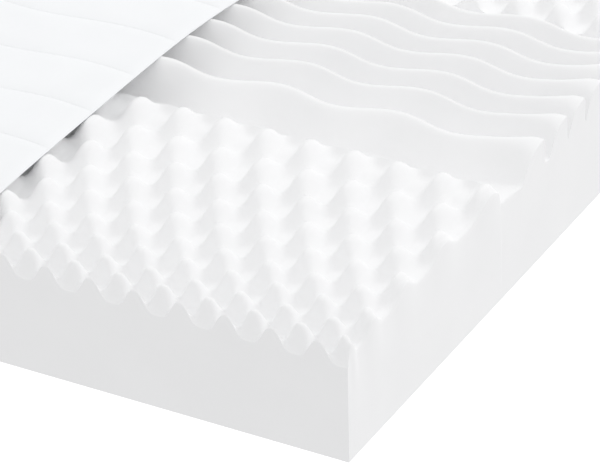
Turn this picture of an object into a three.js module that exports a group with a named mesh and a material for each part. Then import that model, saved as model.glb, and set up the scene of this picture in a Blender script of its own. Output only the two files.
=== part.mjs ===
// A profiled foam mattress: one foam core whose top is cut in zones, and a quilted cover turned back.
// Millimetres, +Z up, +X to the sleeper's side on which the core lies bare, -Y at the foot end.
import * as THREE from "three";

// The foam core
const CORE_WIDTH = 900;
const CORE_LENGTH = 2000;
const CORE_HEIGHT = 187;
const BUMP_PITCH = 65.3; // between two bumps of one row, across the core
const EDGE_TO_BUMP = 9.3; // from the bare long side to the first line of bumps
const BUMP_DEPTH = 40;
const BUMP_SHARPNESS = 1.5; // above 1, the bumps are narrower than the dips between them
const DIP_LIFT = 0.26; // the share of that depth by which the dips are filled up
const SHELF_LIFT = 0.42; // the same behind the last row before the ridges, where they run into a shelf
const SHELF_START = { place: 7.5, rows: 0.5 };
const FLOOR_DEPTH = 44; // of the slots between the ridges, below their crests
const END_DROP = 16; // how much lower the top is at the cut ends
const END_DROP_FADE = 65; // the length over which that drop fades to a third
const SHOULDER_WIDTH = 18; // of the rounded top edge along the long sides
const SHOULDER_SHARE = 0.12; // of a crest's height above the slot floor, lost at the side face

// Rows of bumps from a cut end, closer together towards that end
const END_ROWS = [
  { row: "first", centre: 15.7 },
  { row: "second", centre: 38.5 },
  { row: "third", centre: 72.5 },
  { row: "fourth", centre: 110 },
  { row: "fifth", centre: 158 },
  { row: "sixth", centre: 209 },
  { row: "seventh", centre: 266 },
  { row: "eighth", centre: 324 },
  { row: "ninth", centre: 397 },
];
const CUT_STEP = -0.8; // the cut end's place in the pattern, in rows before the first one
const END_ZONE_CUT = { y: 424, place: 8.54 }; // where the zone is cut off towards the ridges
const CUT_FOOT = 6; // how far such a cut runs out on its way down to the slot floor

// Ridges of a wave zone, from the same end: the mean place of the crest
const RIDGES = [
  { ridge: "first", crest: 512 },
  { ridge: "second", crest: 582 },
  { ridge: "third", crest: 638 },
  { ridge: "fourth", crest: 692 },
  { ridge: "fifth", crest: 741 },
  { ridge: "sixth", crest: 788 },
  { ridge: "seventh", crest: 834 },
];
const WAVE_LENGTH = 177.9; // of the crests' winding, seen from above
const WAVE_SWING = 10.8; // to each side of the mean place
const WAVE_PHASE = 191.2; // from the first line of bumps to a place where the crest swings inwards
const WAVE_DRIFT = 0.00039; // the waves' shift to the bare side, by the squared way from the first ridge
const RIDGE_SLANT = 0.02; // how much further along the ridges lie towards the bare side
const RIDGE_FRONT = 34; // from the foot of the leaning front to the crest
const FIRST_RIDGE_FRONT = 51;
const RIDGE_BACK = 5.5; // from the crest to the foot of the steep back
const EDGE_SWEEP = 26; // how far the crests bend back at the long sides
const EDGE_SWEEP_WIDTH = 55; // the width over which they do
const EDGE_SWEEP_LOSS = 0.6; // the share of that bend which the last ridge lacks
const FOOT_SWEEP_SHARE = 0.3; // the same bend of the fronts' feet, as a share
const LEAST_SLOT = 1; // between a ridge's back and the next one's foot

// Rows of bumps in the middle zone, from the same end to the core's middle
const MIDDLE_ZONE_CUT = { y: 872.8, place: -0.4 };
const MIDDLE_ROWS = [
  { row: "first", centre: 894 },
  { row: "second", centre: 947 },
  { row: "third", centre: 1000 },
];

// The quilted cover
const COVER_THICKNESS = 4;
const COVER_PUFF = 2.5; // the filling's rise between two seams
const COVER_REST_GAP = 0.3; // from the crests that it lies on
const COVER_SIDE_GAP = 2.5; // from the long side that it hangs beside
const COVER_BEND = 12; // inner radius where it turns down
const COVER_ON_TOP = 334.5; // how far it reaches in from the long side
const COVER_SWING = 30; // how much further its free edge swings in round one place
const COVER_SWING_PLACE = 850; // that place, from the foot end
const COVER_SWING_WIDTH = 180;
const COVER_END_DROP = 14.2; // how much lower it lies at the cut ends, with the crests there
const COVER_CLEARANCE = 14; // from its lower hem to the floor
const QUILT_CHANNELS = 18;
const QUILT_SWING = 7; // of the seams' wave
const QUILT_WAVE = 300; // its length, measured along the cover's section
// A channel's section along the cover, from one seam towards the next
const CHANNEL_SECTION = [
  { share: 0, rise: 0 },
  { share: 0.3, rise: 1 },
  { share: 0.7, rise: 1 },
];
const TOP_STEPS = 6;
const BEND_STEPS = 3;
const SIDE_STEPS = 3;

const COLUMNS_PER_PITCH = 4;
const HALF_WIDTH = CORE_WIDTH / 2;
const FIRST_BUMP_LINE = HALF_WIDTH - EDGE_TO_BUMP;
const SLOT_FLOOR = CORE_HEIGHT - FLOOR_DEPTH;
const COVER_REACH = COVER_SIDE_GAP + COVER_THICKNESS + COVER_PUFF;

// The lines along the core on which its points lie, from the covered long side to the bare one
function columnPlaces() {
  const step = BUMP_PITCH / COLUMNS_PER_PITCH;
  const places = [HALF_WIDTH];
  for (let x = FIRST_BUMP_LINE; x > -HALF_WIDTH + step / 4; x -= step) {
    places.push(x);
  }
  places.push(-HALF_WIDTH);
  return places.reverse();
}

// The bump pattern: 1 on a bump, least in a dip; a whole step of place is one row
function crate(x, place) {
  const across = (2 * Math.PI * (FIRST_BUMP_LINE - x)) / BUMP_PITCH;
  const share = ((1 + Math.cos(across) * Math.cos(Math.PI * place)) / 2) ** BUMP_SHARPNESS;
  const shelf = THREE.MathUtils.smoothstep(place, SHELF_START.place, SHELF_START.place + SHELF_START.rows);
  const lift = THREE.MathUtils.lerp(DIP_LIFT, SHELF_LIFT, shelf);
  return THREE.MathUtils.lerp(THREE.MathUtils.smoothstep(share, 0, 1), 1, lift);
}

// Rounds the top edge of a long side by lowering what stands above the slot floor
function shoulder(x, z) {
  const into = (Math.abs(x) - (HALF_WIDTH - SHOULDER_WIDTH)) / SHOULDER_WIDTH;
  const share = SHOULDER_SHARE * Math.max(0, into) ** 2;
  return SLOT_FLOOR + (z - SLOT_FLOOR) * (1 - share);
}

function bumpRow(y, place) {
  const crest = CORE_HEIGHT - END_DROP * Math.exp(-y / END_DROP_FADE);
  return {
    y: () => y,
    z: (x) => shoulder(x, crest - BUMP_DEPTH * (1 - crate(x, place))),
  };
}

function floorRow(y) {
  return { y: () => y, z: () => SLOT_FLOOR };
}

// A ridge's crest line, seen from above, before it bends back at the long sides
function crestLine(x, mean) {
  const inside = FIRST_BUMP_LINE - x;
  const drift = WAVE_DRIFT * (mean - RIDGES[0].crest) ** 2;
  const wave = WAVE_SWING * Math.cos((2 * Math.PI * (inside - WAVE_PHASE + drift)) / WAVE_LENGTH);
  return mean + wave + RIDGE_SLANT * (HALF_WIDTH / 2 - inside);
}

// How far a ridge's crest bends back at a place across it
function sweep(x, mean) {
  const fromSide = HALF_WIDTH - Math.abs(x);
  const onTheWay = (mean - RIDGES[0].crest) / (RIDGES.at(-1).crest - RIDGES[0].crest);
  const amount = EDGE_SWEEP * (1 - EDGE_SWEEP_LOSS * onTheWay ** 3);
  return amount * Math.max(0, 1 - fromSide / EDGE_SWEEP_WIDTH) ** 2;
}

// The foot, the crest and the back of a ridge, each kept clear of the back before it
function ridgeRows(mean, before) {
  const front = before ? RIDGE_FRONT : FIRST_RIDGE_FRONT;
  const clear = (x) => (before ? before(x) + LEAST_SLOT : 0);
  const footLine = (x) => crestLine(x, mean) + sweep(x, mean) * FOOT_SWEEP_SHARE - front;
  const foot = (x) => Math.max(footLine(x), clear(x));
  const top = (x) => crestLine(x, mean) + sweep(x, mean);
  const back = (x) => top(x) + RIDGE_BACK;
  return [
    { y: foot, z: () => SLOT_FLOOR },
    { y: top, z: (x) => shoulder(x, CORE_HEIGHT) },
    { y: back, z: () => SLOT_FLOOR },
  ];
}

// The rows of bumps of a zone, with one more between each two
function bumpRows(centres) {
  return centres.flatMap(({ centre }, i) => {
    const row = bumpRow(centre, i);
    return i === 0 ? [row] : [bumpRow((centres[i - 1].centre + centre) / 2, i - 0.5), row];
  });
}

// The rows of one half of the core, from its cut end to its middle
function halfRows() {
  const rows = [bumpRow(0, CUT_STEP), ...bumpRows(END_ROWS)];
  rows.push(bumpRow(END_ZONE_CUT.y, END_ZONE_CUT.place), floorRow(END_ZONE_CUT.y + CUT_FOOT));
  let before = null;
  for (const { crest } of RIDGES) {
    rows.push(...ridgeRows(crest, before));
    before = rows.at(-1).y;
  }
  rows.push(floorRow(MIDDLE_ZONE_CUT.y - CUT_FOOT));
  rows.push(bumpRow(MIDDLE_ZONE_CUT.y, MIDDLE_ZONE_CUT.place), ...bumpRows(MIDDLE_ROWS));
  return rows;
}

// Both halves alike, one turned about the middle row
function coreRows() {
  const near = halfRows();
  const far = near.slice(0, -1).reverse();
  const fromFoot = (row) => (x) => [x, row.y(x) - CORE_LENGTH / 2, row.z(x)];
  const fromHead = (row) => (x) => [x, CORE_LENGTH / 2 - row.y(x), row.z(x)];
  return [...near.map(fromFoot), ...far.map(fromHead)];
}

// The faces of a grid of points, facing up where the rows run to +Y and the columns to +X
function gridFaces(points, rows, columns) {
  const faces = [];
  for (let j = 0; j < rows - 1; j++) {
    for (let i = 0; i < columns - 1; i++) {
      const a = j * columns + i;
      const b = a + 1;
      const c = b + columns;
      const d = a + columns;
      const mean = [a, b, c, d].reduce((sum, k) => sum + points[k][2], 0) / 4;
      const off = (k) => Math.abs(points[k][2] - mean);
      // The corner furthest from the cell's mean height lies on the fold
      if (Math.max(off(a), off(c)) >= Math.max(off(b), off(d))) {
        faces.push([a, b, c], [a, c, d]);
      } else {
        faces.push([a, b, d], [b, c, d]);
      }
    }
  }
  return faces;
}

// The grid's outermost points, anticlockwise seen from above
function gridRim(rows, columns) {
  const rim = [];
  for (let i = 0; i < columns - 1; i++) rim.push(i);
  for (let j = 0; j < rows - 1; j++) rim.push((j + 1) * columns - 1);
  for (let i = columns - 1; i > 0; i--) rim.push((rows - 1) * columns + i);
  for (let j = rows - 1; j > 0; j--) rim.push(j * columns);
  return rim;
}

function bodyOf(points, faces) {
  const geometry = new THREE.BufferGeometry();
  geometry.setAttribute("position", new THREE.Float32BufferAttribute(points.flat(), 3));
  geometry.setIndex(faces.flat());
  geometry.computeVertexNormals();
  return geometry;
}

// The core's top as a grid, over upright sides and a flat underside of one fan from its middle
function coreGeometry() {
  const columns = columnPlaces();
  const top = coreRows().map((row) => columns.map(row));
  const points = top.flat();
  const faces = gridFaces(points, top.length, columns.length);
  const rim = gridRim(top.length, columns.length);
  const foot = points.length;
  rim.forEach((k) => points.push([points[k][0], points[k][1], 0]));
  const middle = points.length;
  points.push([0, 0, 0]);
  rim.forEach((k, n) => {
    const next = (n + 1) % rim.length;
    faces.push([k, foot + n, foot + next], [k, foot + next, rim[next]]);
    faces.push([middle, foot + next, foot + n]);
  });
  return bodyOf(points, faces);
}

// A sheet of two grids alike in size, an outer and an inner one, joined round their rims
function sheetGeometry(outer, inner) {
  const columns = outer[0].length;
  const points = [...outer.flat(), ...inner.flat()];
  const under = outer.length * columns;
  const faces = gridFaces(points, outer.length, columns);
  const turned = faces.map(([a, b, c]) => [a + under, c + under, b + under]);
  faces.push(...turned);
  const rim = gridRim(outer.length, columns);
  rim.forEach((k, n) => {
    const next = rim[(n + 1) % rim.length];
    faces.push([k, k + under, next + under], [k, next + under, next]);
  });
  return bodyOf(points, faces);
}

// The cover's inner line in section, from its free edge on the crests to its lower hem
function coverSection() {
  const level = CORE_HEIGHT + COVER_REST_GAP;
  const freeEdge = -HALF_WIDTH + COVER_ON_TOP;
  const side = -HALF_WIDTH - COVER_SIDE_GAP;
  const bendX = side + COVER_BEND;
  const bendZ = level - COVER_BEND;
  const line = [];
  for (let k = 0; k <= TOP_STEPS; k++) {
    line.push({ x: THREE.MathUtils.lerp(freeEdge, bendX, k / TOP_STEPS), z: level, turn: 0 });
  }
  for (let k = 1; k <= BEND_STEPS; k++) {
    const turn = ((Math.PI / 2) * k) / BEND_STEPS;
    const x = bendX - COVER_BEND * Math.sin(turn);
    line.push({ x, z: bendZ + COVER_BEND * Math.cos(turn), turn });
  }
  for (let k = 1; k <= SIDE_STEPS; k++) {
    const z = THREE.MathUtils.lerp(bendZ, COVER_CLEARANCE, k / SIDE_STEPS);
    line.push({ x: side, z, turn: Math.PI / 2 });
  }
  let along = 0;
  return line.map((p, k) => {
    if (k > 0) along += Math.hypot(p.x - line[k - 1].x, p.z - line[k - 1].z);
    return { ...p, along };
  });
}

// How far the whole cover sinks at a place along it, to lie on the lower crests of the cut ends
function coverDrop(mean) {
  const atEnds = [mean, CORE_LENGTH - mean].map((far) => Math.exp(-far / END_DROP_FADE));
  return COVER_END_DROP * (atEnds[0] + atEnds[1]);
}

// The cover lies in puffed channels between wavy seams that run across it
function coverGeometry() {
  // Its lines run from the lower hem to the free edge, which is from -X to +X on the core
  const section = coverSection().reverse();
  const length = section[0].along;
  const bendX = section.find((p) => p.z === section.at(-1).z).x;
  const channel = CORE_LENGTH / QUILT_CHANNELS;
  const outer = [];
  const inner = [];
  for (let n = 0; n <= QUILT_CHANNELS; n++) {
    // The last seam is the hem itself
    for (const { share, rise } of n < QUILT_CHANNELS ? CHANNEL_SECTION : [CHANNEL_SECTION[0]]) {
      const mean = (n + share) * channel;
      const swings = Math.min(1, mean / channel, (CORE_LENGTH - mean) / channel);
      const drop = coverDrop(mean);
      const reach = COVER_SWING * Math.exp(-(((mean - COVER_SWING_PLACE) / COVER_SWING_WIDTH) ** 2));
      const placed = (p) => {
        const onTop = Math.max(0, (p.x - bendX) / (section.at(-1).x - bendX));
        const high = (p.z - COVER_CLEARANCE) / (section.at(-1).z - COVER_CLEARANCE);
        return { x: p.x + reach * onTop, z: p.z - drop * high };
      };
      const lineAt = (p) => {
        const wave = Math.sin((2 * Math.PI * p.along) / QUILT_WAVE);
        return mean + QUILT_SWING * swings * wave - CORE_LENGTH / 2;
      };
      const riseAt = (p) => {
        const atHem = p.along === 0 || p.along === length;
        return COVER_THICKNESS + (atHem ? 0 : COVER_PUFF * rise);
      };
      outer.push(
        section.map((p) => {
          const { x, z } = placed(p);
          return [x - riseAt(p) * Math.sin(p.turn), lineAt(p), z + riseAt(p) * Math.cos(p.turn)];
        }),
      );
      inner.push(section.map((p) => [placed(p).x, lineAt(p), placed(p).z]));
    }
  }
  return sheetGeometry(outer, inner);
}

function piece(name, geometry, material) {
  const mesh = new THREE.Mesh(geometry, material);
  mesh.name = name;
  return mesh;
}

const foam = new THREE.MeshStandardMaterial({ color: 0xf1f1f0, roughness: 0.95, metalness: 0 });
const quilt = new THREE.MeshStandardMaterial({ color: 0xf4f5f7, roughness: 0.85, metalness: 0 });

const mattress = new THREE.Group();
mattress.add(piece("foam_core", coreGeometry(), foam));
mattress.add(piece("quilted_cover", coverGeometry(), quilt));

// The origin is the middle of the footprint, and the cover hangs outside one long side only
mattress.position.x = COVER_REACH / 2;

export default mattress;
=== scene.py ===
"""A foam mattress core with a profile-cut top, and the quilted cover turned back along one long side."""

import math

import bpy
import numpy as np
from bpy.props import FloatProperty, FloatVectorProperty, IntProperty, PointerProperty
from mathutils import Matrix, Vector


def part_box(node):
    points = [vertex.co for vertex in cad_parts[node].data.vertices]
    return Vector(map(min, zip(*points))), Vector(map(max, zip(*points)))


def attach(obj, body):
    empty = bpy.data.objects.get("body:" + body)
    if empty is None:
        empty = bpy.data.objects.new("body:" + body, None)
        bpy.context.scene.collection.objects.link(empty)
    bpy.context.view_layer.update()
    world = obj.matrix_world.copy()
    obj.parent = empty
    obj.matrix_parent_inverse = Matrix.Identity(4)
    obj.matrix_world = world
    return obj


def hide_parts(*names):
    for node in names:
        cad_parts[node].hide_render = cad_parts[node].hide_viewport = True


bl_info = {
    "name": "Foam Mattress",
    "version": (1, 0, 0),
    "blender": (4, 5, 0),
    "location": "View3D > Sidebar > Mattress",
    "description": "Builds a profile-cut foam mattress with its quilted cover turned back",
    "category": "Add Mesh",
}

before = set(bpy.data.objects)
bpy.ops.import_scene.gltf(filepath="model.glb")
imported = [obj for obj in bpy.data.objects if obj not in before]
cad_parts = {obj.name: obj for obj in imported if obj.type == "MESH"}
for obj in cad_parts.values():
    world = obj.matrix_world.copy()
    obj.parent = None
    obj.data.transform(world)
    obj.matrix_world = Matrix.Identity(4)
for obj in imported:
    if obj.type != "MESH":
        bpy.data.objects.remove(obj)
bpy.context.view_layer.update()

CORE_LOW, CORE_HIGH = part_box("foam_core")
COVER_LOW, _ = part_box("quilted_cover")
CORE_LENGTH = CORE_HIGH.y - CORE_LOW.y
CORE_MIDDLE = (CORE_LOW.x + CORE_HIGH.x) / 2
HALF_WIDTH = (CORE_HIGH.x - CORE_LOW.x) / 2
# A point this close to the core's outline is on it
TINY = 1e-6

# The bump zone at a cut end: how far each row's middle is from the cut
END_ROWS = (0.0157, 0.0385, 0.0725, 0.110, 0.158, 0.209, 0.266, 0.324, 0.397, 0.447)
# The bump zone in the middle of the length, in the same way
MIDDLE_ROWS = (0.894, 0.947, 1.000)
# The row numbers, counted from a zone's first row, at which the zones start and end
CUT_PLACE = -0.8
END_ZONE_CLIFF = 8.54
MIDDLE_ZONE_START = -0.4
# Rows of points to a row of bumps
ROW_STEPS = 8

# How pointed a bump is, and how much of a dip's depth is filled up
BUMP_SHARPNESS = 1.5
DIP_LIFT = 0.26
# Behind the last row before the ridges the dips run out into a shelf
SHELF_START = 7.5
SHELF_ROWS = 0.5
SHELF_LIFT = 0.42

# The steep cut from a bump zone to the slots' floor: how far out, and the share of the way down
CLIFF_STEPS = ((0.0006, 0.05), (0.0014, 0.6), (0.0028, 0.94), (0.006, 1.0))

# The wave zone: how far each ridge's crest is from the same cut, in the mean
RIDGES = (0.512, 0.582, 0.638, 0.692, 0.741, 0.788, 0.834)
WAVE_LENGTH = 0.1779
WAVE_SWING = 0.0108
WAVE_PHASE = 0.1912
# The waves move towards the bare side by this much times the square of the way from the first ridge
WAVE_DRIFT = 0.39
# How much further from the cut a ridge is for each metre towards the bare side
RIDGE_SLANT = 0.020

# At the long sides the crests and backs are swept back over a width, and the last ridge's by less
EDGE_SWEEP = 0.026
EDGE_SWEEP_WIDTH = 0.055
EDGE_SWEEP_LOSS = 0.6
# The fronts are swept by this share, and by all of it at the crest
FRONT_SWEEP = 0.3
FRONT_SWEEP_FADE = 0.003

# A ridge in section, from the foot of its leaning front, over the crest, to the foot of its steep back
RIDGE_SECTION = (
    (-0.0340, -0.0440),
    (-0.0300, -0.0425),
    (-0.0265, -0.0380),
    (-0.0225, -0.0290),
    (-0.0170, -0.0195),
    (-0.0105, -0.0098),
    (-0.0068, -0.0048),
    (-0.0034, -0.0014),
    (0.0, 0.0),
    (0.0028, -0.0008),
    (0.0046, -0.0032),
    (0.0054, -0.0080),
    (0.0058, -0.0340),
    (0.0066, -0.0405),
    (0.0092, -0.0440),
)
RIDGE_DROP = 0.044
# The foot of the first ridge's front, which leans further out than the others
FIRST_FOOT = -0.051
# Two rows of points on the ridges come no closer than this
LEAST_STEP = 0.0003

# Columns of points beside a long edge, and how far from it the even ones start
RIM_COLUMNS = (0.0, 0.003, 0.0065, 0.010)
EVEN_COLUMNS_FROM = 0.012

# The cut sides: a crisp bevel all round, and a soft edge with shallow grooves beside the bumps
CUT_BEVEL = 0.0012
SIDE_ROUNDING = 0.0045
SIDE_ROUNDING_SHARE = 0.6
SIDE_GROOVE = 0.006
SIDE_GROOVE_LENGTH = 0.075
# The top's points are drawn in with the soft edge over this width
SIDE_PULL = 0.028
# The soft edge fades out over these lengths at a cut end and before the ridges
SOFT_FROM_END = 0.012
SOFT_BEFORE_RIDGES = 0.03
# How far below the rim the rings of points on the sides are
WALL_DROPS = (CUT_BEVEL, 0.0025, 0.0045, 0.010, 0.020, 0.036, 0.058)

# How far the cover reaches over the top, and the share of the core's end drop that it follows
COVER_ON_TOP = 0.3345
COVER_SINK = 0.89
# The cover's free edge swings towards the bare side round one place
COVER_SWING = 0.030
COVER_SWING_PLACE = 0.85
COVER_SWING_WIDTH = 0.18
# The cover's lines of points on the top, in the bend and in the hanging part
TOP_LINES = 44
BEND_LINES = 8
HANG_LINES = 20
# Its rows of points, as shares of a channel: closer beside the seams, where the puff is steep
CHANNEL_ROWS = (0, 0.012, 0.03, 0.07, 0.14, 0.25, 0.38, 0.5, 0.62, 0.75, 0.86, 0.93, 0.97, 0.988)
# How flat the puff is in the middle of a channel, and how roundly it rises from a seam
PUFF_FLATNESS = 5
PUFF_ROUNDNESS = 0.6
# The puff flattens over this much beside the free edge and the lower hem
HEM_TAPER = 0.012
# The rings of points on a hem, as shares of its half turn
HEM_RINGS = (0.15, 0.5, 0.85)

# The knit's loops, across and along the mattress
LOOP_ACROSS = 0.0018
LOOP_ALONG = 0.0024

# The studio floor's half width, and its level just under the mattress
FLOOR_REACH = 12.0
FLOOR_LEVEL = -0.0005
LAMP_PLACE = (2.4, 5.0, 5.0)
LAMP_AIM = (0.0, -0.6, 0.1)
LAMP_WIDTH = 2.6
# How much more light comes from the right, from behind and from above
SKY_RIGHT = 0.05
SKY_BEHIND = 0.05
SKY_ABOVE = 0.10
# The point of the mattress at the middle of the picture
CAMERA_AIM = (0.1865, -0.6359, 0.0653)


class FoamSizes(bpy.types.PropertyGroup):
    """The foam core's sizes and colour"""

    pitch: FloatProperty(
        name="Bump Pitch", description="Between two bumps of one row", default=0.0653, unit="LENGTH"
    )
    edge_to_bump: FloatProperty(
        name="Edge to Bump",
        description="From the bare long side to the first line of bumps",
        default=0.0093,
        unit="LENGTH",
    )
    depth: FloatProperty(
        name="Bump Depth", description="From a bump's top to an unfilled dip", default=0.040, unit="LENGTH"
    )
    end_drop: FloatProperty(
        name="End Drop", description="How much lower the top is at a cut end", default=0.016, unit="LENGTH"
    )
    end_fade: FloatProperty(
        name="End Fade", description="Over which the drop fades to a third", default=0.065, unit="LENGTH"
    )
    shoulder_width: FloatProperty(
        name="Shoulder", description="Width of the rounded long edges", default=0.018, unit="LENGTH"
    )
    shoulder_share: FloatProperty(
        name="Shoulder Drop",
        description="Share of the relief that is lost there",
        default=0.12,
        subtype="FACTOR",
    )
    steps: IntProperty(name="Steps", description="Columns of points to a bump pitch", default=14)
    colour: FloatVectorProperty(
        name="Foam Colour", subtype="COLOR", size=3, default=(0.985, 0.985, 0.988), description="Of the foam"
    )


class CoverSizes(bpy.types.PropertyGroup):
    """The quilted cover's sizes and colour"""

    thickness: FloatProperty(
        name="Thickness", description="Of the cover at a seam", default=0.004, unit="LENGTH"
    )
    puff: FloatProperty(
        name="Puff", description="The filling's rise between two seams", default=0.0025, unit="LENGTH"
    )
    bend: FloatProperty(
        name="Bend", description="Inner radius where it turns down", default=0.012, unit="LENGTH"
    )
    side_gap: FloatProperty(
        name="Side Gap", description="Between its hanging part and the core", default=0.0025, unit="LENGTH"
    )
    rest_gap: FloatProperty(
        name="Rest Gap", description="Between it and the crests", default=0.0003, unit="LENGTH"
    )
    channels: IntProperty(name="Channels", description="Quilted channels along the length", default=18)
    swing: FloatProperty(name="Seam Swing", description="Of a seam's wave", default=0.007, unit="LENGTH")
    wave: FloatProperty(name="Seam Wave", description="Length of that wave", default=0.3, unit="LENGTH")
    colour: FloatVectorProperty(
        name="Cover Colour", subtype="COLOR", size=3, default=(0.97, 0.98, 0.99), description="Of the knit"
    )


class StudioSettings(bpy.types.PropertyGroup):
    """The floor, the light and the camera"""

    azimuth: FloatProperty(
        name="Azimuth", description="Camera direction", default=math.radians(29.27), unit="ROTATION"
    )
    elevation: FloatProperty(
        name="Elevation", description="Camera height angle", default=math.radians(30.97), unit="ROTATION"
    )
    roll: FloatProperty(
        name="Roll", description="Camera roll", default=math.radians(-1.325), unit="ROTATION"
    )
    distance: FloatProperty(name="Distance", description="Camera to aim point", default=5.258, unit="LENGTH")
    lens: FloatProperty(name="Lens", description="Focal length", default=236.8, unit="CAMERA")
    ambient: FloatProperty(name="Ambient", description="Strength of the world's light", default=0.826)
    floor_glow: FloatProperty(name="Floor Glow", description="Light that the floor gives off", default=1.08)
    lamp_power: FloatProperty(name="Lamp Power", description="Of the softbox", default=95.0, unit="POWER")


class Nodes:
    """A node tree that is being filled"""

    def __init__(self, tree):
        self.tree = tree

    def add(self, kind, settings=None, sockets=None):
        """One node of a kind: its settings first, then its sockets' values or links"""
        made = self.tree.nodes.new(kind)
        for name, value in (settings or {}).items():
            setattr(made, name, value)
        self.feed(made, sockets or {})
        return made

    def feed(self, node, sockets):
        for name, value in sockets.items():
            if isinstance(value, Value):
                value = value.socket
            if isinstance(value, bpy.types.NodeSocket):
                self.tree.links.new(value, node.inputs[name])
            else:
                node.inputs[name].default_value = value

    def split(self, vector):
        """A vector's x, y and z as values"""
        made = self.add("ShaderNodeSeparateXYZ", sockets={"Vector": vector})
        return [Value(self, made.outputs[axis]) for axis in "XYZ"]


class Value:
    """A number's socket in a node tree, for writing shader maths as expressions"""

    def __init__(self, nodes, socket):
        self.nodes = nodes
        self.socket = socket

    def _math(self, operation, *values):
        node = self.nodes.add("ShaderNodeMath", {"operation": operation}, dict(enumerate(values)))
        return Value(self.nodes, node.outputs[0])

    def __add__(self, other):
        return self._math("ADD", self, other)

    __radd__ = __add__

    def __sub__(self, other):
        return self._math("SUBTRACT", self, other)

    def __rsub__(self, other):
        return self._math("SUBTRACT", other, self)

    def __mul__(self, other):
        return self._math("MULTIPLY", self, other)

    __rmul__ = __mul__

    def sine(self):
        return self._math("SINE", self)

    def ramp(self, low, high):
        """0 up to low, 1 from high on, and smooth between"""
        sockets = {"Value": self, "From Min": low, "From Max": high}
        node = self.nodes.add("ShaderNodeMapRange", {"interpolation_type": "SMOOTHSTEP"}, sockets)
        return Value(self.nodes, node.outputs["Result"])


class Finish(Nodes):
    """A material under construction"""

    def __init__(self, name):
        self.material = bpy.data.materials.new(name)
        self.material.use_nodes = True
        super().__init__(self.material.node_tree)

    def shade(self, **sockets):
        """Sets or links the shader's sockets, an underscore standing for a space"""
        named = {name.replace("_", " "): value for name, value in sockets.items()}
        self.feed(self.tree.nodes["Principled BSDF"], named)
        return self.material

    def place(self):
        return self.add("ShaderNodeTexCoord").outputs["Object"]

    def noise(self, place, scale, detail, roughness=0.5):
        sockets = {"Vector": place, "Scale": scale, "Detail": detail, "Roughness": roughness}
        return Value(self, self.add("ShaderNodeTexNoise", sockets=sockets).outputs["Fac"])

    def pores(self, place, scale):
        """0 in the middle of a cell, and rising to its walls"""
        made = self.add("ShaderNodeTexVoronoi", sockets={"Vector": place, "Scale": scale})
        return Value(self, made.outputs["Distance"])

    def mix(self, factor, first, second):
        sockets = {"Factor": factor, "A": first, "B": second}
        return self.add("ShaderNodeMix", {"data_type": "RGBA"}, sockets).outputs["Result"]

    def bump(self, height, distance, strength):
        sockets = {"Height": height, "Distance": distance, "Strength": strength}
        return self.add("ShaderNodeBump", sockets=sockets).outputs["Normal"]


def rgba(colour, share=1.0):
    return (*(c * share for c in colour), 1.0)


def foam_finish(colour):
    """Open-celled foam: matt, with cells under a millimetre and faint clouds of shade"""
    made = Finish("white_foam")
    place = made.place()
    cloud = made.noise(place, 9.0, 3.0).ramp(0.35, 0.65)
    pore = made.pores(place, 850.0).ramp(0.1, 0.55)
    tone = made.mix(cloud, rgba(colour, 0.985), rgba(colour))
    tone = made.mix(pore * 0.35, tone, rgba(colour, 0.97))
    relief = made.noise(place, 420.0, 4.0, 0.65) * 0.6 - pore * 0.5
    normal = made.bump(relief, 0.0005, 0.35)
    return made.shade(Base_Color=tone, Roughness=1.0, Specular_IOR_Level=0.15, Normal=normal)


def cover_finish(colour):
    """A fine knit, whose loops follow the cover over its bend"""
    made = Finish("quilted_knit")
    place = made.place()
    x, y, z = made.split(place)
    across = (x + z) * (2 * math.pi / LOOP_ACROSS)
    along = y * (2 * math.pi / LOOP_ALONG)
    cloud = made.noise(place, 14.0, 2.0).ramp(0.35, 0.65)
    tone = made.mix(cloud, rgba(colour, 0.99), rgba(colour))
    relief = across.sine() * along.sine() * 0.5 + made.noise(place, 260.0, 4.0) * 0.8
    normal = made.bump(relief, 0.0004, 0.3)
    return made.shade(Base_Color=tone, Roughness=0.95, Specular_IOR_Level=0.1, Normal=normal)


def floor_finish(glow):
    """A white studio floor, bright enough to leave no edge and hardly a shadow"""
    return Finish("studio_floor").shade(
        Base_Color=(0.5, 0.5, 0.5, 1.0),
        Roughness=1.0,
        Specular_IOR_Level=0.0,
        Emission_Color=(1.0, 1.0, 1.0, 1.0),
        Emission_Strength=glow,
    )


def new_piece(name, points, faces, material):
    mesh = bpy.data.meshes.new(name)
    mesh.from_pydata([tuple(p) for p in points], [], faces)
    mesh.validate()
    mesh.update()
    mesh.materials.append(material)
    piece = bpy.data.objects.new(name, mesh)
    bpy.context.scene.collection.objects.link(piece)
    return piece


def smooth_below(piece, degrees, crisp=()):
    """Smooth shading, but for edges bent by more than that and those between two of the crisp points"""
    mesh = piece.data
    mesh.shade_smooth()
    mesh.set_sharp_from_angle(angle=math.radians(degrees))
    if len(crisp):
        marked = np.zeros(len(mesh.vertices), dtype=bool)
        marked[list(crisp)] = True
        ends = np.empty(2 * len(mesh.edges), dtype=np.int32)
        mesh.edges.foreach_get("vertices", ends)
        sharp = np.empty(len(mesh.edges), dtype=bool)
        mesh.edges.foreach_get("use_edge_sharp", sharp)
        mesh.edges.foreach_set("use_edge_sharp", sharp | marked[ends].reshape(-1, 2).all(axis=1))


def clamp(share):
    return min(max(share, 0.0), 1.0)


def eased(share):
    """From 0 to 1 as the share does, but level at both ends"""
    return share * share * (3 - 2 * share)


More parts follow.
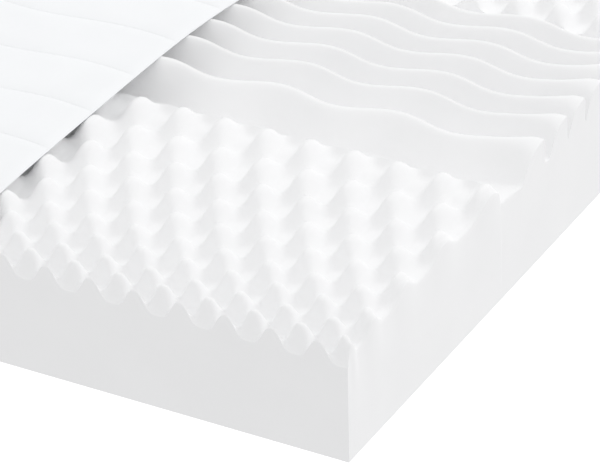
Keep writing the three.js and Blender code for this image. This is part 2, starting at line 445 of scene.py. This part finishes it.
def smooth_line(knots, places):
    """A smooth line through knots at whole places from -1 on, read at the given places"""
    knots = np.asarray(knots)
    slopes = np.gradient(knots)
    cell = np.clip(np.floor(places + 1).astype(int), 0, len(knots) - 2)
    t = places + 1 - cell
    return (
        (2 * t**3 - 3 * t**2 + 1) * knots[cell]
        + (t**3 - 2 * t**2 + t) * slopes[cell]
        + (3 * t**2 - 2 * t**3) * knots[cell + 1]
        + (t**3 - t**2) * slopes[cell + 1]
    )


class FoamTop:
    """The core's top as rows of points, each a distance from the cut end and a height for every column"""

    def __init__(self, sizes):
        self.sizes = sizes
        self.height = CORE_HIGH.z
        self.floor = CORE_HIGH.z - RIDGE_DROP
        self.bump_line = CORE_HIGH.x - sizes.edge_to_bump
        self.columns = self.column_places()

    def column_places(self):
        """Even columns, with closer ones where the long edges round off"""
        step = self.sizes.pitch / self.sizes.steps
        rim = np.array(RIM_COLUMNS)
        inner = np.arange(self.bump_line, CORE_LOW.x, -step)
        inner = inner[(inner < CORE_HIGH.x - EVEN_COLUMNS_FROM) & (inner > CORE_LOW.x + EVEN_COLUMNS_FROM)]
        return np.concatenate([CORE_LOW.x + rim, inner[::-1], (CORE_HIGH.x - rim)[::-1]])

    def pattern(self, place):
        """1 on a bump and -1 in a dip, staggered from row to row"""
        across = 2 * np.pi * (self.bump_line - self.columns) / self.sizes.pitch
        return np.cos(across) * math.cos(math.pi * place)

    def shouldered(self, z):
        """The relief's heights, lowered a little where the long edges round off"""
        into = (abs(self.columns - CORE_MIDDLE) - HALF_WIDTH) / self.sizes.shoulder_width + 1
        share = self.sizes.shoulder_share * np.clip(into, 0, None) ** 2
        return self.floor + (z - self.floor) * (1 - share)

    def bump_row(self, y, place):
        crest = self.height - self.sizes.end_drop * math.exp(-y / self.sizes.end_fade)
        share = eased(((1 + self.pattern(place)) / 2) ** BUMP_SHARPNESS)
        lift = DIP_LIFT + (SHELF_LIFT - DIP_LIFT) * eased(clamp((place - SHELF_START) / SHELF_ROWS))
        share += (1 - share) * lift
        z = crest - self.sizes.depth * (1 - share)
        return np.full_like(self.columns, y), self.shouldered(z)

    def bump_zone(self, middles, start, end):
        """Rows of points from one row number to another, over rows of bumps with the given middles"""
        knots = [2 * middles[0] - middles[1], *middles, 2 * middles[-1] - middles[-2]]
        places = np.linspace(start, end, round((end - start) * ROW_STEPS) + 1)
        return [self.bump_row(y, place) for y, place in zip(smooth_line(knots, places), places)]

    def crest_line(self, mean):
        """A ridge's crest: waves across the width"""
        inside = self.bump_line - self.columns
        drift = WAVE_DRIFT * (mean - RIDGES[0]) ** 2
        wave = WAVE_SWING * np.cos(2 * np.pi * (inside - WAVE_PHASE + drift) / WAVE_LENGTH)
        slant = RIDGE_SLANT * (HALF_WIDTH / 2 - inside)
        return mean + wave + slant

    def ridge_zone(self):
        """Every ridge, from the foot of the first one's front to the foot of the last one's back"""
        rows = []
        from_side = HALF_WIDTH - abs(self.columns - CORE_MIDDLE)
        at_side = np.clip(1 - from_side / EDGE_SWEEP_WIDTH, 0, None) ** 2
        for crest in RIDGES:
            line = self.crest_line(crest)
            on_the_way = (crest - RIDGES[0]) / (RIDGES[-1] - RIDGES[0])
            sweep = EDGE_SWEEP * (1 - EDGE_SWEEP_LOSS * on_the_way**3) * at_side
            for ahead, below in RIDGE_SECTION:
                swept = 1.0
                if ahead < 0:
                    swept = FRONT_SWEEP + (1 - FRONT_SWEEP) * math.exp(below / FRONT_SWEEP_FADE)
                    if crest == RIDGES[0]:
                        ahead *= FIRST_FOOT / RIDGE_SECTION[0][0]
                y = line + ahead + sweep * swept
                if rows:
                    y = np.maximum(y, rows[-1][0] + LEAST_STEP)
                rows.append((y, self.shouldered(np.full_like(self.columns, self.height + below))))
        return rows

    def cliff(self, last, direction):
        """From a bump zone's last row down to the slots' floor, towards the ridges"""
        y, z = last
        rows = [(y + direction * out, z + (self.floor - z) * share) for out, share in CLIFF_STEPS]
        return rows[::direction]

    def half(self):
        end_zone = self.bump_zone(END_ROWS, CUT_PLACE, END_ZONE_CLIFF)
        middle_zone = self.bump_zone(MIDDLE_ROWS, MIDDLE_ZONE_START, len(MIDDLE_ROWS) - 1)
        return [
            *end_zone,
            *self.cliff(end_zone[-1], 1),
            *self.ridge_zone(),
            *self.cliff(middle_zone[0], -1),
            *middle_zone,
        ]

    def points(self):
        """Both halves as one grid of points, the far one mirrored about the middle row"""
        near = self.half()
        y = np.array([row[0] for row in near])
        z = np.array([row[1] for row in near])
        y = np.concatenate([y + CORE_LOW.y, CORE_HIGH.y - y[-2::-1]])
        z = np.concatenate([z, z[-2::-1]])
        x = np.broadcast_to(self.columns, y.shape)
        return np.stack([x, y, z], axis=-1)


def grid_faces(rows, columns, first=0):
    a = first + np.arange(rows - 1)[:, None] * columns + np.arange(columns - 1)
    return np.stack([a, a + 1, a + columns + 1, a + columns], axis=-1).reshape(-1, 4).tolist()


def grid_rim(rows, columns):
    """The grid's outermost points, anticlockwise seen from above"""
    return [
        *range(columns - 1),
        *range(columns - 1, (rows - 1) * columns, columns),
        *range(rows * columns - 1, (rows - 1) * columns, -1),
        *range((rows - 1) * columns, 0, -columns),
    ]


def ring_faces(upper, lower):
    """A band of faces between two rings of as many points"""
    following = [*range(1, len(upper)), 0]
    return [(upper[k], lower[k], lower[n], upper[n]) for k, n in enumerate(following)]


def flipped(faces):
    return [face[::-1] for face in faces]


class CutSides:
    """The core's upright cut sides, hung from the rim of its top"""

    def __init__(self, edge, depth):
        self.edge = edge
        across = edge[:, 0] - CORE_MIDDLE
        self.on_side = (abs(across) > HALF_WIDTH - TINY) * np.sign(across)
        self.on_end = (abs(edge[:, 1]) > CORE_LENGTH / 2 - TINY) * np.sign(edge[:, 1])
        self.soft = self.softness() * abs(self.on_side)
        self.groove = SIDE_GROOVE * np.clip((CORE_HIGH.z - edge[:, 2]) / depth, 0, 1)

    def softness(self):
        """1 where the rim is rounded, beside the bumps, and 0 at the cut ends and the ridges"""
        from_end = CORE_LENGTH / 2 - abs(self.edge[:, 1])
        off_end = np.clip(from_end / SOFT_FROM_END, 0, 1)
        return off_end * np.clip((RIDGES[0] + FIRST_FOOT - from_end) / SOFT_BEFORE_RIDGES, 0, 1)

    def inset(self, drop):
        """How far in the side is, that far below its rim"""
        crisp = max(0.0, CUT_BEVEL - drop)
        left = max(0.0, 1 - drop / SIDE_ROUNDING)
        rounded = SIDE_ROUNDING * SIDE_ROUNDING_SHARE * (1 - math.sqrt(1 - left * left))
        return crisp + self.soft * (rounded + self.groove * max(0.0, 1 - drop / SIDE_GROOVE_LENGTH) ** 2)

    def ring(self, height, side_inset, end_inset):
        made = self.edge.copy()
        made[:, 0] -= self.on_side * side_inset
        made[:, 1] -= self.on_end * end_inset
        made[:, 2] = height
        return made

    def rings(self):
        """From just below the rim down to the underside, with its own bevel"""
        made = [self.ring(self.edge[:, 2] - drop, self.inset(drop), 0.0) for drop in WALL_DROPS]
        return [*made, self.ring(CUT_BEVEL, 0.0, 0.0), self.ring(0.0, CUT_BEVEL, CUT_BEVEL)]

    def draw_in(self, points, rim, rows, columns):
        """Bevels and softens the rim, and draws the top's points near it in as well"""
        across = points[:, 0] - CORE_MIDDLE
        near = np.clip(1 - (HALF_WIDTH - abs(across)) / SIDE_PULL, 0, None) ** 2
        by_row = np.zeros((rows, columns))
        by_row.reshape(-1)[rim] = self.inset(0.0)
        first, last = (np.repeat(by_row[:, side], columns) for side in (0, -1))
        points[:, 0] -= near * np.where(across > 0, last, -first)
        points[rim, 1] -= self.on_end * CUT_BEVEL


def foam_piece(sizes):
    """The core as one closed surface: the profiled top, upright cut sides and a flat underside"""
    top = FoamTop(sizes).points()
    rows, columns = top.shape[:2]
    points = top.reshape(-1, 3)
    faces = grid_faces(rows, columns)
    rim = grid_rim(rows, columns)
    sides = CutSides(points[rim].copy(), sizes.depth)
    sides.draw_in(points, rim, rows, columns)
    rings = [rim]
    for ring in sides.rings():
        rings.append(range(len(points), len(points) + len(ring)))
        points = np.concatenate([points, ring])
        faces += ring_faces(*rings[-2:])
    middle = len(points)
    points = np.concatenate([points, [[CORE_MIDDLE, 0.0, 0.0]]])
    underside = rings[-1]
    faces += [(middle, after, this) for this, after in zip(underside, [*underside[1:], underside[0]])]
    cut_edges = [rings[1][k] for k in np.flatnonzero(sides.soft < 0.5)]
    cut_edges += rings[-2]
    return new_piece("foam_block", points, faces, foam_finish(sizes.colour)), cut_edges


class CoverSection:
    """The cover's inner line in section, from its free edge over the bend to its lower hem"""

    def __init__(self, sizes):
        self.bend = sizes.bend
        self.bend_x = CORE_LOW.x - sizes.side_gap + sizes.bend
        self.bend_z = CORE_HIGH.z + sizes.rest_gap - sizes.bend
        self.free_edge = CORE_LOW.x + COVER_ON_TOP
        self.top = self.free_edge - self.bend_x
        self.turned = math.pi / 2 * sizes.bend
        self.hang = self.bend_z - COVER_LOW.z
        self.length = self.top + self.turned + self.hang

    def at(self, along):
        """The point that far from the free edge, and how far the line has turned down there"""
        if along <= self.top:
            return self.free_edge - along, self.bend_z + self.bend, 0.0
        if along <= self.top + self.turned:
            turn = (along - self.top) / self.bend
            return self.bend_x - self.bend * math.sin(turn), self.bend_z + self.bend * math.cos(turn), turn
        return self.bend_x - self.bend, self.bend_z - (along - self.top - self.turned), math.pi / 2

    def lines(self, hem):
        """Where the lines of points are, along the section"""
        on_top = np.linspace(hem, self.top, TOP_LINES)
        in_bend = self.top + self.turned * np.linspace(1 / BEND_LINES, 1.0, BEND_LINES)
        hanging = np.linspace(self.top + self.turned, self.length - hem, HANG_LINES)[1:]
        return np.concatenate([on_top, in_bend, hanging])


def cover_points(sizes, foam, section, hem):
    """The cover's outer and inner face as rows of points from end to end"""
    channel = CORE_LENGTH / sizes.channels
    starts = [(n + share) * channel for n in range(sizes.channels) for share in CHANNEL_ROWS]
    lines = section.lines(hem)
    outer, inner = [], []
    for mean in [hem, *starts[1:], CORE_LENGTH - hem]:
        to_end = CORE_LENGTH - mean
        share = (mean / channel) % 1
        rise = sizes.puff * (1 - abs(2 * share - 1) ** PUFF_FLATNESS) ** PUFF_ROUNDNESS
        at_end = min(1.0, mean / channel, to_end / channel)
        drop = COVER_SINK * foam.end_drop * sum(math.exp(-far / foam.end_fade) for far in (mean, to_end))
        swing = COVER_SWING * math.exp(-(((mean - COVER_SWING_PLACE) / COVER_SWING_WIDTH) ** 2))
        for along in lines:
            x, z, turn = section.at(along)
            z -= drop * (z - COVER_LOW.z) / (CORE_HIGH.z - COVER_LOW.z)
            x += swing * clamp((x - section.bend_x) / (section.free_edge - section.bend_x))
            y = CORE_LOW.y + mean + sizes.swing * at_end * math.sin(2 * math.pi * along / sizes.wave)
            at_hem = min(1.0, (min(along, section.length - along) - hem) / HEM_TAPER)
            up = sizes.thickness + rise * math.sin(at_hem * math.pi / 2)
            outer.append((x - up * math.sin(turn), y, z + up * math.cos(turn)))
            inner.append((x, y, z))
    return np.array(outer), np.array(inner), len(lines)


def cover_piece(sizes, foam):
    """The cover as one closed sheet: puffed channels between seams outside, plain inside, round hems"""
    section = CoverSection(sizes)
    hem = sizes.thickness / 2
    outer, inner, columns = cover_points(sizes, foam, section, hem)
    rows = len(outer) // columns
    points = np.concatenate([outer, inner])
    # The lines run from the bare side to the covered one, so the outer faces are turned to look out
    faces = flipped(grid_faces(rows, columns)) + grid_faces(rows, columns, len(outer))

    # Rings between the outer and the inner rim bulge out by half the thickness
    rim = grid_rim(rows, columns)
    outward = hem_directions(rim, rows, columns)
    upper = rim
    for step in HEM_RINGS:
        share = (1 - math.cos(math.pi * step)) / 2
        bulge = math.sin(math.pi * step) * hem
        ring = outer[rim] * (1 - share) + inner[rim] * share + outward * bulge
        lower = range(len(points), len(points) + len(ring))
        points = np.concatenate([points, ring])
        faces += flipped(ring_faces(upper, lower))
        upper = lower
    faces += flipped(ring_faces(upper, [k + len(outer) for k in rim]))
    return new_piece("quilted_sheet", points, faces, cover_finish(sizes.colour)), section.length


def hem_directions(rim, rows, columns):
    """Which way each point of the cover's rim faces, out of the sheet"""
    made = []
    for k in rim:
        row, column = divmod(k, columns)
        way = Vector((0.0, 0.0, 0.0))
        way.x = 1.0 if column == 0 else 0.0
        way.y = {0: -1.0, rows - 1: 1.0}.get(row, 0.0)
        way.z = -1.0 if column == columns - 1 else 0.0
        made.append(tuple(way.normalized()))
    return np.array(made)


class MATTRESS_OT_foam_core(bpy.types.Operator):
    """Cuts the foam core, its bumps, ridges and slots"""

    bl_idname = "mattress.foam_core"
    bl_label = "Foam Core"

    def execute(self, context):
        piece, cut_edges = foam_piece(context.scene.mattress_foam)
        smooth_below(piece, 50, cut_edges)
        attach(piece, "root")
        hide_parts("foam_core")
        return {"FINISHED"}


class MATTRESS_OT_quilted_cover(bpy.types.Operator):
    """Lays the quilted cover on the crests and over the long side"""

    bl_idname = "mattress.quilted_cover"
    bl_label = "Quilted Cover"

    def execute(self, context):
        piece, width = cover_piece(context.scene.mattress_cover, context.scene.mattress_foam)
        smooth_below(piece, 60)
        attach(piece, "root")
        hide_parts("quilted_cover")
        return {"FINISHED"}


def studio_floor(glow):
    """A wide floor just under the mattress, whose glow lights nothing"""
    low, high = -FLOOR_REACH, FLOOR_REACH
    corners = [(x, y, FLOOR_LEVEL) for x, y in ((low, low), (high, low), (high, high), (low, high))]
    floor = new_piece("studio_floor", corners, [(0, 1, 2, 3)], floor_finish(glow))
    floor.visible_diffuse = False
    return floor


def studio_sky(strength):
    """An even light from all round, a little stronger from above, the right and behind"""
    world = bpy.data.worlds.new("soft_sky")
    world.use_nodes = True
    nodes = Nodes(world.node_tree)
    right, behind, up = nodes.split(nodes.add("ShaderNodeTexCoord").outputs["Generated"])
    level = (right * SKY_RIGHT + behind * SKY_BEHIND + up * SKY_ABOVE + 1.0) * strength
    nodes.feed(nodes.tree.nodes["Background"], {"Color": (0.993, 0.995, 1.0, 1.0), "Strength": level})
    return world


def studio_lamp(scene, watts):
    """A square softbox behind the mattress, on the right"""
    lamp = bpy.data.lights.new("right_softbox", "AREA")
    lamp.shape = "SQUARE"
    lamp.size = LAMP_WIDTH
    lamp.energy = watts
    light = bpy.data.objects.new("right_softbox", lamp)
    light.location = LAMP_PLACE
    light.visible_camera = False
    light.rotation_euler = (Vector(LAMP_AIM) - Vector(LAMP_PLACE)).to_track_quat("-Z", "Y").to_euler()
    scene.collection.objects.link(light)


def studio_camera(scene, studio):
    lens = bpy.data.cameras.new("studio_camera")
    lens.lens = studio.lens
    lens.sensor_width = 36.0
    lens.clip_end = 100.0
    camera = bpy.data.objects.new("studio_camera", lens)
    around, up, roll = studio.azimuth, studio.elevation, studio.roll
    back = Vector((math.sin(around) * math.cos(up), -math.cos(around) * math.cos(up), math.sin(up)))
    right = Vector((math.cos(around), math.sin(around), 0.0))
    over = back.cross(right)
    rolled_right = right * math.cos(roll) + over * math.sin(roll)
    rolled_over = over * math.cos(roll) - right * math.sin(roll)
    turn = Matrix((rolled_right, rolled_over, back)).transposed().to_4x4()
    camera.matrix_world = Matrix.Translation(Vector(CAMERA_AIM) + back * studio.distance) @ turn
    scene.collection.objects.link(camera)
    scene.camera = camera


class MATTRESS_OT_studio(bpy.types.Operator):
    """Makes the pale floor, the soft light and the camera"""

    bl_idname = "mattress.studio"
    bl_label = "Studio"

    def execute(self, context):
        studio = context.scene.mattress_studio
        studio_floor(studio.floor_glow)
        context.scene.world = studio_sky(studio.ambient)
        context.scene.view_settings.view_transform = "Standard"
        studio_lamp(context.scene, studio.lamp_power)
        studio_camera(context.scene, studio)
        return {"FINISHED"}


class MATTRESS_PT_panel(bpy.types.Panel):
    """The mattress's sizes, and a button for each piece"""

    bl_label = "Foam Mattress"
    bl_idname = "MATTRESS_PT_panel"
    bl_space_type = "VIEW_3D"
    bl_region_type = "UI"
    bl_category = "Mattress"

    def draw(self, context):
        for group, button in PANEL_ROWS:
            settings = getattr(context.scene, group)
            for name in settings.__annotations__:
                self.layout.prop(settings, name)
            self.layout.operator(button)


PANEL_ROWS = (
    ("mattress_foam", "mattress.foam_core"),
    ("mattress_cover", "mattress.quilted_cover"),
    ("mattress_studio", "mattress.studio"),
)
SETTINGS = {
    "mattress_foam": FoamSizes,
    "mattress_cover": CoverSizes,
    "mattress_studio": StudioSettings,
}
CLASSES = (
    *SETTINGS.values(),
    MATTRESS_OT_foam_core,
    MATTRESS_OT_quilted_cover,
    MATTRESS_OT_studio,
    MATTRESS_PT_panel,
)


def register():
    for made in CLASSES:
        bpy.utils.register_class(made)
    for name, group in SETTINGS.items():
        setattr(bpy.types.Scene, name, PointerProperty(type=group))


def unregister():
    for name in SETTINGS:
        delattr(bpy.types.Scene, name)
    for made in reversed(CLASSES):
        bpy.utils.unregister_class(made)


def main():
    register()
    bpy.ops.mattress.studio()
    bpy.ops.mattress.foam_core()
    bpy.ops.mattress.quilted_cover()


if __name__ == "__main__":
    main()
